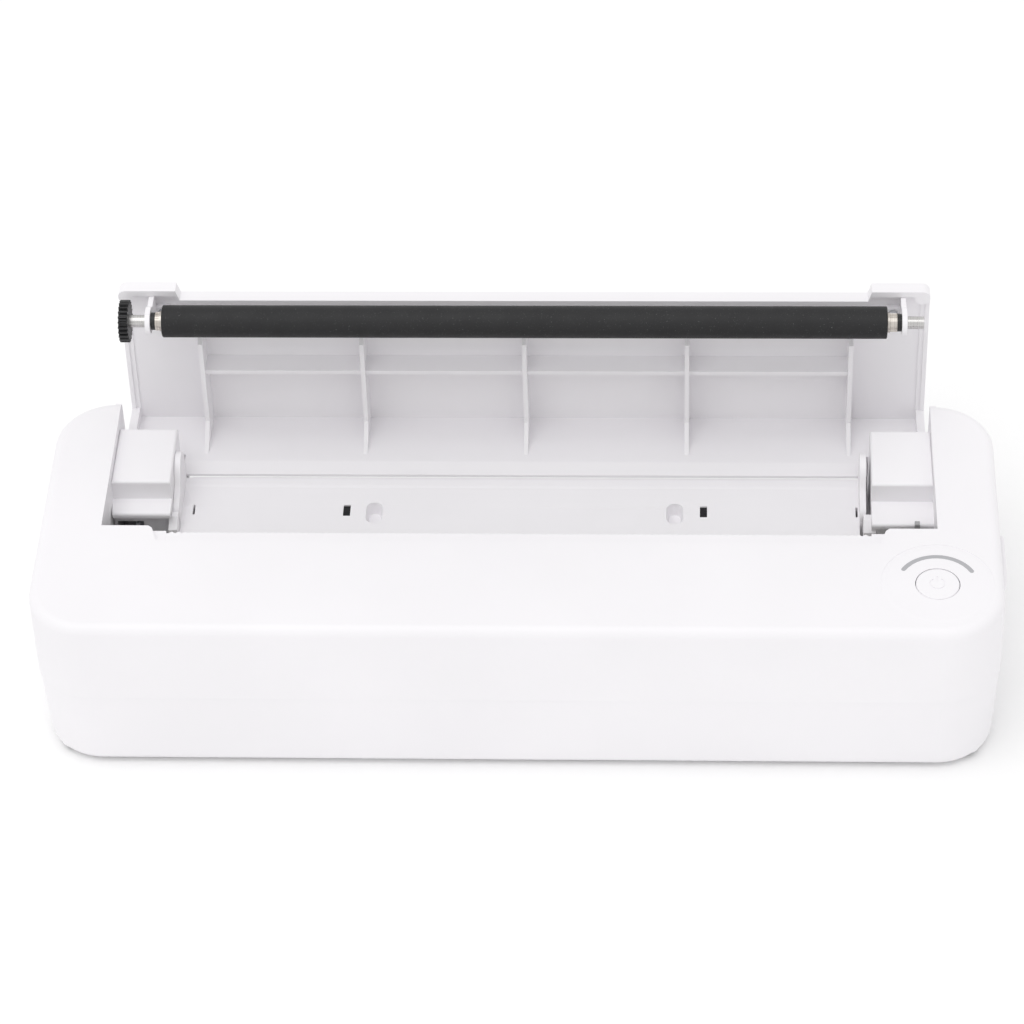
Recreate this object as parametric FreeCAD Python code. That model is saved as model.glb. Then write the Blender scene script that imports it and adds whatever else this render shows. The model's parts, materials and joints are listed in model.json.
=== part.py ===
"""Thermal label printer, modelled with its lid swung open.

Millimetres, +Z up, -Y is the front with the paper exit, +X is the right-hand side.
The origin is on the plane that the rubber feet stand on, under the middle of the open printer's box.
The parts are drawn with y = 0 at the platen axis of the closed lid, and moved to that origin last.
"""
import FreeCAD, Part
import math
import os

V = FreeCAD.Vector

# ---- driving dimensions ----
width = 300.0            # case, left to right
depth = 105.0            # case, front to back
foot_height = 1.2        # case bottom above the standing plane
split_z = 30.6           # parting line between the two case shells
top_z = 60.5             # top of the case and of the closed lid
corner_radius = 18.4     # case corners seen from above
wall = 2.4               # case wall
rim_fillet = 3.0         # rounding along the top and the bottom of the case
split_step = 0.25        # the lower shell is this much smaller at the parting line
lower_draft = 1.0        # the lower shell narrows by this much on each side towards its bottom
upper_draft = 0.15       # the upper shell narrows by this much on each side towards its top

opening_half = 130.4     # half width of the case cut-out that the lid closes
opening_front = -6.2     # front edge of the cut-out at its two ends
exit_front = -7.2        # front edge of the cut-out along the paper exit
exit_half = 114.4        # half width of the paper exit
exit_slant_half = 115.6  # its corners slant out to here
recess_front = -12.8     # front edge of the shallow recess along the paper exit
recess_half = 112.6      # its half width there; its ends slant outwards to the exit
tear_half = 110.0        # half width of the serrated edge

lid_half = 129.6         # half width of the lid
lid_wall = 2.3           # lid wall
lid_front = -0.5         # front edge of the lid along the paper exit
lid_end_front = -4.2     # front edge of the lid over the gears
lid_end_width = 19.7     # width of each of those two ends
lid_skirt_z = 30.9       # lower edge of the lid's back wall
lid_skirt_half = 110.4   # half width of the deep part of that wall
hinge_y = 50.1           # lid hinge axis
hinge_z = 42.9
lid_open = 92.0          # degrees from closed to open
origin_y = 8.5           # the origin lies this far behind the closed platen axis
lid_rib_x = (-103.7, -51.8, 0.4, 52.5, 104.8)

platen_z = 45.3          # platen axis above the standing plane, lid closed; its y is 0
platen_radius = 5.15
platen_left = -114.3     # left end of the rubber
platen_right = 115.6     # right end of the rubber
shaft_right = 127.2
bush_length = {-1: 2.1, 1: 3.0}
clip_length = 1.4
bracket_thick = 1.6
shaft_radius = 2.0
running_gap = 0.06       # radial clearance of a shaft in its bore

gear_module = 0.53
gear_x = -128.0          # left face of the gear train
gear_width = 3.0
drive_teeth = 30
idler_teeth = 24
pinion_teeth = 12
platen_teeth = 24
motor_radius = 11.6
gear_plate_x = -121.9    # right face of the plate that carries the gears
gear_plate_thick = 1.3
train_angle = -45.0      # direction from the drive gear through the idler to the motor pinion

guide_z = 40.2           # paper guide surface
guide_crest_z = 40.9     # raised rear edge of the guide
guide_rear = 37.2
guide_front = 9.0
guide_left = -109.5      # the label stock runs between these two
guide_right = 107.6
cheek_thick = 1.9        # curved cheeks on both sides of the guide
sensor_x = (-56.4, 58.0)
sensor_y = 22.7
well_x = (-47.5, 48.8)
well_y = 21.6
slit_y = 22.8

block_inner = {-1: 111.5, 1: 111.0}      # side housings, from here out to the cut-out wall
block_outer = 130.4
block_top = 56.9
block_step = 49.6
block_rear = 43.2
block_riser = 17.8
block_front = {-1: 10.5, 1: 7.0}
block_overhang = 3.4     # the ledge of a side housing reaches this far past the wall below it
seat_inner = {-1: 109.6, 1: 108.6}       # bearing seats under the ends of the rubber
seat_outer = {-1: 112.4, 1: 112.5}

power_x, power_y = 129.4, -30.7
power_radius = 6.7
arc_radius = 12.0        # middle line of the grey light arc round the power button
arc_width = 1.45
arc_start, arc_end = 28.0, 148.0

release_y = -9.7         # middle of the release button
release_z = 49.3
release_length = 21.0
release_height = 8.0
release_proud = 1.6

latch_yz = (2.0, 26.0)   # pivot of the latch rod
latch_hook_width = 1.8
latch_hook_gap = 0.35    # between a hook and the end of the rubber
latch_post_x = 104.0

lever_x = 124.2          # left face of the cover switch lever

board_z = 8.0            # underside of the main board
board_thick = 1.6
inlet_x = 72.0           # middle of the power inlet at the back
inlet_z = board_z + board_thick + 1.6
floor_z = foot_height + wall
pitch_circle = gear_module / 2.0


# ---- small helpers ----
def box(x0, x1, y0, y1, z0, z1):
    return Part.makeBox(x1 - x0, y1 - y0, z1 - z0, V(x0, y0, z0))


def both_sides(shape):
    """The shape and its mirror image in the plane x = 0."""
    return [shape, shape.mirror(V(0, 0, 0), V(1, 0, 0))]


def rod_x(x0, x1, y, z, radius):
    return Part.makeCylinder(radius, x1 - x0, V(x0, y, z), V(1, 0, 0))


def rod_y(x, y0, y1, z, radius):
    return Part.makeCylinder(radius, y1 - y0, V(x, y0, z), V(0, 1, 0))


def rod_z(x, y, z0, z1, radius):
    return Part.makeCylinder(radius, z1 - z0, V(x, y, z0), V(0, 0, 1))


def fuse(shapes):
    first = shapes[0]
    joined = first.multiFuse(list(shapes[1:])) if len(shapes) > 1 else first
    return joined.removeSplitter()


def cut(shape, tools):
    return shape.cut(list(tools)) if tools else shape


def prism_yz(points, x0, x1):
    """A flat outline of (y, z) points, made solid from x0 to x1."""
    corners = [V(x0, y, z) for y, z in points]
    outline = Part.makePolygon(corners + corners[:1])
    return Part.Face(outline).extrude(V(x1 - x0, 0, 0))


def prism_xz(points, y0, y1):
    """A flat outline of (x, z) points, made solid from y0 to y1."""
    corners = [V(x, y0, z) for x, z in points]
    outline = Part.makePolygon(corners + corners[:1])
    return Part.Face(outline).extrude(V(0, y1 - y0, 0))


def prism_xy(points, z0, z1):
    """A flat outline of (x, y) points, made solid from z0 to z1."""
    corners = [V(x, y, z0) for x, y in points]
    outline = Part.makePolygon(corners + corners[:1])
    return Part.Face(outline).extrude(V(0, 0, z1 - z0))


def rounded_wire(half_x, half_y, radius, z):
    """A rectangle with round corners, centred on the origin."""
    edges = []
    centres = [(1, 1, 0), (-1, 1, 90), (-1, -1, 180), (1, -1, 270)]
    arcs = []
    for sx, sy, start in centres:
        cx, cy = sx * (half_x - radius), sy * (half_y - radius)
        angles = [math.radians(start + turn) for turn in (0, 45, 90)]
        arcs.append([V(cx + radius * math.cos(a), cy + radius * math.sin(a), z) for a in angles])
    for index, points in enumerate(arcs):
        edges.append(Part.Arc(*points).toShape())
        edges.append(Part.makeLine(points[2], arcs[(index + 1) % 4][0]))
    return Part.Wire(edges)


def drafted_block(z0, inset0, z1, inset1, radius):
    """The case outline between two heights, inset by a different amount at each."""
    low = rounded_wire(width / 2 - inset0, depth / 2 - inset0, radius, z0)
    high = rounded_wire(width / 2 - inset1, depth / 2 - inset1, radius, z1)
    return Part.makeLoft([low, high], True, True)


def fillet_at(shape, radius, chosen):
    edges = [edge for edge in shape.Edges if chosen(edge)]
    return shape.makeFillet(radius, edges)


def lies_at_z(edge, z):
    return all(abs(vertex.Z - z) < 1e-3 for vertex in edge.Vertexes)


def oblong_x(x0, x1, y, z, length, height):
    """A bar along x whose section is a rectangle in y with two round ends."""
    reach = (length - height) / 2
    bar = box(x0, x1, y - reach, y + reach, z - height / 2, z + height / 2)
    ends = [rod_x(x0, x1, y - reach, z, height / 2), rod_x(x0, x1, y + reach, z, height / 2)]
    return fuse([bar] + ends)


def opened(shape):
    """Swing a lid part from its closed place to the open one."""
    turned = shape.copy()
    turned.rotate(V(0, hinge_y, hinge_z), V(1, 0, 0), -lid_open)
    return turned


def countersunk_screw(x, y, z0, z1, radius, head_radius, head_height):
    """A screw standing on its head at z0, with a cross recess in the head."""
    shank = rod_z(x, y, z0, z1, radius)
    head = rod_z(x, y, z0, z0 + head_height, head_radius)
    slot_long, slot_wide, slot_deep = head_radius * 0.6, head_radius * 0.16, head_height * 0.55
    slots = [
        box(x - slot_long, x + slot_long, y - slot_wide, y + slot_wide, z0 - 1, z0 + slot_deep),
        box(x - slot_wide, x + slot_wide, y - slot_long, y + slot_long, z0 - 1, z0 + slot_deep),
    ]
    return cut(fuse([shank, head]), slots)


def top_screw(x, y, z_under_head, length, radius, head_radius, head_height):
    """The same screw driven from above."""
    screw = countersunk_screw(0, 0, 0, length + head_height, radius, head_radius, head_height)
    screw.rotate(V(0, 0, 0), V(1, 0, 0), 180)
    screw.translate(V(x, y, z_under_head + head_height))
    return screw


def spur_gear(teeth, x, y, z, bore, phase):
    """A spur gear with straight-sided teeth that taper like involutes."""
    pitch_r = gear_module * teeth / 2
    tip_r, root_r = pitch_r + 0.82 * gear_module, pitch_r - 1.2 * gear_module
    half_pitch = math.pi / teeth
    outline = []
    for tooth in range(teeth):
        middle = math.radians(phase) + 2 * half_pitch * tooth
        for radius, half in ((root_r, 0.62), (pitch_r, 0.42), (tip_r, 0.19)):
            outline.append((radius, middle - half * half_pitch))
        for radius, half in ((tip_r, 0.19), (pitch_r, 0.42), (root_r, 0.62)):
            outline.append((radius, middle + half * half_pitch))
    points = [(y + r * math.cos(a), z + r * math.sin(a)) for r, a in outline]
    body = prism_yz(points, x, x + gear_width)
    return cut(body, [rod_x(x - 1, x + gear_width + 1, y, z, bore)])


# ---- gear train places ----
def along(yz, distance, angle):
    return (yz[0] + distance * math.cos(math.radians(angle)),
            yz[1] + distance * math.sin(math.radians(angle)))


mesh_slack = 0.06        # added to each centre distance
drive_gear_yz = along((0.0, platen_z), pitch_circle * (platen_teeth + drive_teeth) + mesh_slack, -60.0)
idler_yz = along(drive_gear_yz, pitch_circle * (drive_teeth + idler_teeth) + mesh_slack, train_angle)
pinion_yz = along(idler_yz, pitch_circle * (idler_teeth + pinion_teeth) + mesh_slack, train_angle)


def phase_with_gap(teeth, angle):
    """Turn a gear so that the middle of a gap faces the given direction."""
    return angle + 180.0 / teeth


# ---- case ----
case_screws_xy = ((-140.5, -43), (140.5, -43), (-86, -45), (86, -45), (-139, 33), (139, 33))
board_screws_xy = ((-34, -16), (80, -16), (-34, 44), (80, 44))
foot_xy = ((-118, -36), (118, -36), (-118, 36), (118, 36))
foot_half = (13.0, 5.0)
guide_posts_xy = ((-92, 24), (-34, 29), (34, 29), (92, 24))
guide_post_radius = 4.2
guide_post_top = 33.0
screw_pocket_z = 24.0    # the guide screws sit this deep in their posts
head_frame_x = 96.5      # uprights that carry the print head frame


def lower_outer():
    block = drafted_block(foot_height, split_step + lower_draft, split_z, split_step, corner_radius)
    return fillet_at(block, rim_fillet, lambda edge: lies_at_z(edge, foot_height))


def foot_pad(x, y, z0, z1, slack=0.0):
    reach = foot_half[0] - foot_half[1]
    radius = foot_half[1] + slack
    bar = box(x - reach, x + reach, y - radius, y + radius, z0, z1)
    return fuse([bar, rod_z(x - reach, y, z0, z1, radius), rod_z(x + reach, y, z0, z1, radius)])


def lower_case():
    cavity = drafted_block(floor_z, split_step + lower_draft + wall, split_z + 1, split_step + wall,
                           corner_radius - wall)
    shell = cut(lower_outer(), [cavity])
    posts = []
    for x, y in case_screws_xy:
        posts.append(rod_z(x, y, floor_z - 1, split_z, 4.0))
    for x, y in board_screws_xy:
        posts.append(rod_z(x, y, floor_z - 1, board_z, 3.2))
    for x, y in guide_posts_xy:
        posts.append(rod_z(x, y, floor_z - 1, guide_post_top, guide_post_radius))
    for x in (-head_frame_x, head_frame_x):
        posts.append(box(x - 8, x + 8, -30.0, -27.0, floor_z - 1, 26.0))
    for x in (-latch_post_x, latch_post_x):
        posts.append(box(x - 2, x + 2, latch_yz[0] - 4, latch_yz[0] + 4, floor_z - 1, latch_yz[1] + 3))
    for x, y in foot_xy:
        posts.append(foot_pad(x, y, floor_z - 1, floor_z + 1.0, 1.2))
    posts += [box(x0, x0 + 1.6, -46.0, -23.8, floor_z - 1, 14.0) for x0 in (-73.2, 71.6)]
    posts.append(box(-73.2, 73.2, -25.4, -23.8, floor_z - 1, 14.0))
    posts += [box(x0, x0 + 3.0, 12.0, 34.0, floor_z - 1, 9.0) for x0 in (-118.0, -101.0)]
    shell = fuse([shell] + posts)
    tools = [rod_x(gear_plate_x + 1.2, -97.0, pinion_yz[0], pinion_yz[1], motor_radius),
             rod_x(-110.0, 110.0, latch_yz[0], latch_yz[1], 2.0 + running_gap)]
    for x, y in case_screws_xy:
        tools.append(rod_z(x, y, 0, split_z + 1, 1.45))
        tools.append(rod_z(x, y, 0, foot_height + 4.0, 2.9))
    for x, y in board_screws_xy:
        tools.append(rod_z(x, y, floor_z + 0.4, board_z + 1, 1.0))
    for x, y in guide_posts_xy:
        tools.append(rod_z(x, y, 0, screw_pocket_z, 2.9))
        tools.append(rod_z(x, y, 0, guide_post_top + 1, 1.3))
    for x, y in foot_xy:
        tools.append(foot_pad(x, y, 0, foot_height + 1.2))
    for x in (-head_frame_x, head_frame_x):
        tools.append(rod_y(x, -31, -26, 20.0, 1.0))
    tools.append(box(-lid_skirt_half - 0.6, lid_skirt_half + 0.6, 40, 60, 25.6, split_z + 1))
    tools.append(box(inlet_x - 4.8, inlet_x + 4.8, 48, 56, inlet_z - 1.9, inlet_z + 1.9))
    vents = [box(x, x + 2.0, 0.0, 26.0, 0, floor_z + 1) for x in range(10, 60, 6)]
    return cut(shell, tools + vents)


def upper_case():
    outer = drafted_block(split_z, 0.0, top_z, upper_draft, corner_radius)
    outer = fillet_at(outer, rim_fillet, lambda edge: lies_at_z(edge, top_z))
    cavity = drafted_block(split_z - 1, wall, top_z - wall, wall + upper_draft, corner_radius - wall)
    shell = cut(outer, [cavity])
    bay_wall = box(opening_half, opening_half + 2.0, opening_front - 2.0, 52.3, split_z, top_z - 1)
    rear_strip = box(lid_skirt_half + 0.6, opening_half + 2.0, 50.1, 52.4, split_z, 37.8)
    bar_shelf = box(-exit_half, exit_half, -17.0, exit_front - 0.4, top_z - wall - 2.2, top_z - 1)
    posts = [rod_z(x, y, split_z, top_z - 1, 4.0) for x, y in case_screws_xy]
    board_posts = [rod_z(x, y, button_board_z + 1.6, top_z - 1, 2.4) for x, y in button_board_xy]
    shell = fuse([shell] + both_sides(bay_wall) + [bar_shelf] + posts + board_posts)
    lid_room = prism_xy([(-opening_half, 60), (-opening_half, opening_front), (-exit_slant_half, opening_front),
                         (-exit_half, exit_front), (exit_half, exit_front), (exit_slant_half, opening_front),
                         (opening_half, opening_front), (opening_half, 60)], 20, 70)
    recess = prism_xy([(-exit_half, exit_front + 1), (-exit_half, exit_front), (-recess_half, recess_front),
                       (recess_half, recess_front), (exit_half, exit_front), (exit_half, exit_front + 1)],
                      top_z - 1.4, top_z + 1)
    edge = [(opening_front + 0.1, top_z - 1.4), (opening_front + 0.1, top_z - 3.4),
            (opening_front - 1.4, top_z - 3.4), (opening_front - 1.4, top_z - 2.4)]
    relief = prism_yz(edge, -opening_half, opening_half)
    tools = [lid_room, relief, recess]
    tools.append(box(-tear_half, tear_half, recess_front, 0, top_z - wall, top_z + 1))
    for x, y in case_screws_xy:
        tools.append(rod_z(x, y, split_z - 1, split_z + 9.0, 1.2))
    for x, y in button_board_xy:
        tools.append(rod_z(x, y, button_board_z, button_board_z + 6.0, 0.8))
    tools.append(rod_z(power_x, power_y, 50, 70, power_radius + 0.2))
    tools.append(arc_ring(top_z - wall - 1, top_z + 1, arc_width))
    dish = Part.makeCone(17.4, 15.8, 0.14, V(power_x, power_y, top_z - 0.14), V(0, 0, 1))
    tools.append(cut(rod_z(power_x, power_y, top_z - 0.14, top_z + 1, 17.4), [dish]))
    for sign in (-1, 1):
        x0 = sign * opening_half - (0.5 if sign < 0 else 0.0) - (2.5 if sign < 0 else 0.5)
        tools.append(rod_x(x0, x0 + 3.5, hinge_y, hinge_z, shaft_radius + running_gap))
    tools.append(oblong_x(140, 155, release_y, release_z, release_length + 0.6, release_height + 0.6))
    tools.append(rod_x(opening_half - 1, opening_half + 3, release_y, release_z, 2.0))
    shell = cut(shell, tools)
    return fuse([shell] + both_sides(rear_strip))


def arc_ring(z0, z1, ring_width):
    """A piece of a ring round the power button with round ends."""
    outer_r, inner_r = arc_radius + ring_width / 2, arc_radius - ring_width / 2
    middle = V(power_x, power_y, z0)
    ring = Part.makeCylinder(outer_r, z1 - z0, middle, V(0, 0, 1), arc_end - arc_start)
    ring = ring.cut(Part.makeCylinder(inner_r, z1 - z0, middle, V(0, 0, 1), 360))
    ring.rotate(middle, V(0, 0, 1), arc_start)
    caps = []
    for angle in (arc_start, arc_end):
        cx = power_x + arc_radius * math.cos(math.radians(angle))
        cy = power_y + arc_radius * math.sin(math.radians(angle))
        caps.append(rod_z(cx, cy, z0, z1, ring_width / 2))
    return fuse([ring] + caps)


def tear_bar():
    """A serrated strip that lies in the pocket in front of the paper exit."""
    pitch, depth_of_teeth, tip = 2.1, 0.7, -7.45
    half = tear_half
    count = int(2 * half / pitch)
    left = -count * pitch / 2
    outline = [(left, tip - depth_of_teeth)]
    for tooth in range(count):
        outline.append((left + pitch * (tooth + 0.5), tip))
        outline.append((left + pitch * (tooth + 1), tip - depth_of_teeth))
    outline += [(half, tip - depth_of_teeth), (half, recess_front), (-half, recess_front), (-half, tip - depth_of_teeth)]
    return prism_xy(outline, top_z - wall, top_z - 1.4)


def light_arc():
    pipe = arc_ring(top_z - wall, top_z, arc_width)
    stem = arc_ring(button_board_z + 2.6, top_z - wall, arc_width + 1.6)
    return fuse([stem, pipe])


# ---- power button and its board ----
button_board_z = 49.0
button_board_xy = ((115.0, -17.2), (139.5, -17.2), (115.0, -44.5), (131.0, -44.5))


def button_board():
    board = box(111.5, 142.5, -47.6, -14.6, button_board_z, button_board_z + board_thick)
    tools = [rod_z(x, y, button_board_z - 1, button_board_z + 3, 1.1) for x, y in button_board_xy]
    tools += [rod_z(x, y, button_board_z - 1, button_board_z + 3, 4.5) for x, y in case_screws_xy]
    corner = fillet_at(board, 2.0, lambda edge: abs(edge.Vertexes[0].Z - edge.Vertexes[-1].Z) > 1)
    return cut(corner, tools)


def board_screws_small():
    z_head = button_board_z - 1.1
    screws = [countersunk_screw(x, y, z_head, z_head + 6.0, 0.8, 1.6, 1.1) for x, y in button_board_xy]
    return Part.makeCompound(screws)


def tact_switch():
    base = button_board_z + 1.6
    body = box(power_x - 3, power_x + 3, power_y - 3, power_y + 3, base, base + 2.4)
    plunger = rod_z(power_x, power_y, base + 2.4, base + 3.0, 1.7)
    return fuse([body, plunger])


def status_leds():
    base = button_board_z + 1.6
    lamps = []
    for angle in (43.0, 73.0, 103.0, 133.0):
        x = power_x + arc_radius * math.cos(math.radians(angle))
        y = power_y + arc_radius * math.sin(math.radians(angle))
        lamps.append(box(x - 0.8, x + 0.8, y - 0.7, y + 0.7, base, base + 0.8))
    return Part.makeCompound(lamps)


def power_button():
    cap = rod_z(power_x, power_y, top_z - wall - 0.4, top_z + 0.1, power_radius)
    cap = fillet_at(cap, 0.5, lambda edge: lies_at_z(edge, top_z + 0.1))
    flange = rod_z(power_x, power_y, top_z - wall - 1.6, top_z - wall - 0.2, power_radius + 1.4)
    stem = rod_z(power_x, power_y, button_board_z + 5.6, top_z - wall - 1.0, 2.2)
    return cut(fuse([cap, flange, stem]), standby_mark(top_z - 0.1, top_z + 0.2))


def standby_mark(z0, z1):
    """An open ring with a short bar at its gap, engraved in the button."""
    outer_r, inner_r, gap_angle, bar_half = 2.5, 2.0, 64.0, 0.25
    middle = V(power_x, power_y, z0)
    sweep = 360.0 - gap_angle
    ring = Part.makeCylinder(outer_r, z1 - z0, middle, V(0, 0, 1), sweep)
    ring = ring.cut(Part.makeCylinder(inner_r, z1 - z0, middle, V(0, 0, 1), 360))
    ring.rotate(middle, V(0, 0, 1), 90.0 + gap_angle / 2)
    bar = box(power_x - bar_half, power_x + bar_half, power_y + 1.0, power_y + 3.2, z0, z1)
    return [ring, bar]


# ---- release button and latch ----
def release_button():
    face_x = width / 2 + release_proud
    cap = oblong_x(width / 2 - 5.0, face_x, release_y, release_z, release_length, release_height)
    cap = fillet_at(cap, 0.8, lambda edge: all(abs(v.X - face_x) < 1e-3 for v in edge.Vertexes))
    flange = oblong_x(width / 2 - 5.2, width / 2 - 3.4, release_y, release_z,
                      release_length + 3.0, release_height + 3.0)
    stem = rod_x(opening_half + 0.6, width / 2 - 5.0, release_y, release_z, 1.7)
    tip = Part.makeCone(0.5, 1.7, 2.4, V(opening_half - 1.8, release_y, release_z), V(1, 0, 0))
    return fuse([cap, flange, stem, tip])


def coil(radius, wire_radius, turns, length):
    """A coil spring standing on z = 0, with its wire's middle line from one end to the other."""
    rise = length - 2 * wire_radius
    helix = Part.makeHelix(rise / turns, rise, radius)
    section = Part.Wire([Part.makeCircle(wire_radius, V(radius, 0, 0), V(0, 1, 0))])
    spring = Part.Wire(helix).makePipeShell([section], True, True)
    spring.translate(V(0, 0, wire_radius))
    return spring


def release_spring():
    """The return spring round the stem of the release button, at its pressed length."""
    x0, x1 = opening_half + 2.0, width / 2 - 6.75
    spring = coil(3.0, 0.35, 5, x1 - x0)
    spring.rotate(V(0, 0, 0), V(0, 1, 0), 90)
    spring.translate(V(x0, release_y, release_z))
    return spring


def latch_bar():
    """A cross rod with a hook at each end that holds the platen bushes down, and a release arm."""
    y, z = latch_yz
    left_hook = platen_left - latch_hook_gap - latch_hook_width
    rod = rod_x(left_hook, 127.0, y, z, 2.0)
    arm = [(y - 2.8, z - 0.5), (y + 1.5, z - 3.0), (y + 3.2, z + 1.5), (-2.2, 36.0), (-4.0, 40.5)]
    nose = [(-4.0, 48.2), (-1.2, 49.2), (-0.9, 49.8), (-4.6, 52.4), (-6.6, 52.0)]
    back = [(-6.8, 40.0), (-5.4, 34.0)]
    right_hook = platen_right + latch_hook_gap
    hooks = [prism_yz(arm + nose + back, x, x + latch_hook_width) for x in (left_hook, right_hook)]
    finger = prism_yz(arm + [(-4.6, 52.0), (-6.6, 52.0)] + back, 125.2, 127.0)
    return fuse([rod, finger] + hooks)


# ---- paper bay ----
def paper_guide():
    """The panel that the label stock slides over, with a curved trough for the lid skirt behind."""
    top = [(guide_front, guide_z - 0.6), (guide_front + 1.2, guide_z), (24.0, guide_z),
           (33.0, guide_crest_z - 0.3), (34.0, guide_crest_z), (guide_rear, guide_crest_z)]
    trough_radius = math.hypot(hinge_y - guide_rear, hinge_z - guide_crest_z)
    start = math.atan2(guide_crest_z - hinge_z, guide_rear - hinge_y) + 2 * math.pi
    end = math.radians(270.0 - 3.0)
    steps = 7
    arc = []
    for step in range(1, steps + 1):
        angle = start + (end - start) * step / steps
        arc.append((hinge_y + trough_radius * math.cos(angle), hinge_z + trough_radius * math.sin(angle)))
    skin = 1.8
    under = []
    for step in range(steps, -1, -1):
        angle = start + (end - start) * step / steps
        under.append((hinge_y + (trough_radius + skin) * math.cos(angle),
                      hinge_z + (trough_radius + skin) * math.sin(angle)))
    under = [point for point in under if point[1] < guide_z - skin]
    below = [(33.0, guide_z - skin), (guide_front, guide_z - skin)]
    panel = prism_yz(top + arc + under + below, guide_left, guide_right)
    posts = [rod_z(x, y, guide_post_top, guide_z - 1.0, 3.4) for x, y in guide_posts_xy]
    webs = [box(x - 0.8, x + 0.8, guide_front + 4, 36.0, guide_z - 6.0, guide_z - 1.0)
            for x in (-86.0, -17.0, 17.0, 86.0)]
    cups = [well_cup(x, 3.0, 3.0, guide_z - 5.2, guide_z - 1.0) for x in well_x]
    panel = fuse([panel] + posts + webs + cups)
    tools = [box(x - 1.15, x + 1.15, sensor_y - 2.5, sensor_y + 2.5, guide_z - 3, guide_z + 2)
             for x in sensor_x]
    tools += [well_cup(x, 1.9, 2.7, guide_z - 4.2, guide_z + 0.1) for x in well_x]
    tools += [box(x - 0.35, x + 0.35, slit_y - 2.25, slit_y + 2.25, guide_z - 3, guide_z + 2)
              for x in (-105.7, 106.8)]
    tools += [rod_z(x, y, 20.0, guide_z - 2.4, 1.0) for x, y in guide_posts_xy]
    return cut(panel, tools + [sensor_board()])


def well_cup(x, low_radius, high_radius, z0, z1):
    """An oblong well that widens upwards, or the cup under it."""
    near, far = well_y - 2.1, well_y + 2.1
    ends = [Part.makeCone(low_radius, high_radius, z1 - z0, V(x, y, z0), V(0, 0, 1))
            if low_radius != high_radius else rod_z(x, y, z0, z1, low_radius) for y in (near, far)]
    middle = prism_xz([(x - low_radius, z0), (x + low_radius, z0), (x + high_radius, z1),
                       (x - high_radius, z1)], near, far)
    return fuse(ends + [middle])


def side_plate(side):
    """A cheek with an S-curved top edge that keeps the label stock between the two housings."""
    x0 = guide_right if side > 0 else guide_left - cheek_thick
    crest = [(16.6, 42.0), (17.2, 46.2), (20.2, 47.6), (23.6, 49.2), (26.6, 53.0), (30.0, 55.4),
             (33.8, 55.2), (36.6, 52.4), (37.5, 47.0)]
    low = 30.9
    curve = Part.BSplineCurve()
    curve.interpolate([V(x0, y, z) for y, z in crest])
    corners = [V(x0, crest[-1][0], crest[-1][1]), V(x0, crest[-1][0], low), V(x0, crest[0][0], low),
               V(x0, crest[0][0], crest[0][1])]
    edges = [curve.toShape()] + [Part.makeLine(corners[i], corners[i + 1]) for i in range(3)]
    plate = Part.Face(Part.Wire(edges)).extrude(V(cheek_thick, 0, 0))
    near, far = x0 + cheek_thick / 2, side * block_inner[side]
    web = box(min(near, far), max(near, far), 20.0, 35.0, low, 37.0)
    return fuse([plate, web])


def side_housing(side):
    """A stepped block beside the guide, drawn on the right; side -1 is for the left one."""
    inner, front = block_inner[side], block_front[side]
    wall_y = front + block_overhang
    outline = [(wall_y, split_z), (wall_y, block_step - 1.8), (front, block_step - 1.8),
               (front, block_step), (block_riser, block_step), (block_riser, block_top),
               (block_rear, block_top), (block_rear, split_z)]
    shell = prism_yz(outline, inner, block_outer)
    shell = fillet_at(shell, 0.9, lambda edge: lies_at_z(edge, block_top) or lies_at_z(edge, block_step)
                      and all(vertex.Y < block_riser - 1 for vertex in edge.Vertexes))
    inside = [(wall_y + 1.8, split_z - 1), (wall_y + 1.8, block_step - 1.8),
              (block_riser + 1.8, block_step - 1.8), (block_riser + 1.8, block_top - 1.8),
              (block_rear - 1.8, block_top - 1.8), (block_rear - 1.8, split_z - 1)]
    shell = cut(shell, [prism_yz(inside, inner + 1.8, block_outer - 1.8)])
    seat = prism_yz([(9.2, 39.6), (9.8, 43.4), (13.6, 45.8), (15.8, 45.8), (15.8, 39.6)],
                    seat_inner[side], seat_outer[side])
    return fuse([shell, seat])


def gear_housing():
    """Left block: its lower front is open for the drive gear and the gear plate."""
    shell = side_housing(-1).mirror(V(0, 0, 0), V(1, 0, 0))
    gear_room = box(gear_x - 1.2, gear_plate_x + 1.2, 0.0, 26.0, 20.0, 43.4)
    slot = prism_xy([(-block_outer - 1, block_riser - 2.0), (-block_outer, block_riser - 2.0),
                     (-block_outer + 1.6, 0.0), (-block_outer - 1, 0.0)], 20.0, block_top)
    return cut(shell, [gear_room, slot])


def latch_housing():
    return side_housing(1)


# ---- print head ----
def head_box(x0, x1, along0, along1, away0, away1):
    """A bar beside the platen: along runs up the head face, away points from the platen axis."""
    root_half = math.sqrt(0.5)
    corners = []
    for s, d in ((along0, away0), (along1, away0), (along1, away1), (along0, away1)):
        corners.append((-root_half * (d + s), platen_z + root_half * (s - d)))
    return prism_yz(corners, x0, x1)


def head_point(along_face, away):
    root_half = math.sqrt(0.5)
    return (-root_half * (away + along_face), platen_z + root_half * (along_face - away))


head_gap = 0.35
head_face = platen_radius + head_gap
head_rod_yz = head_point(-7.0, 13.4)
head_left, head_right = platen_left + 3.4, platen_right - 3.8


def head_ceramic():
    return head_box(head_left + 2, head_right - 2, -5.0, 6.0, head_face, head_face + 1.0)


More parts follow.
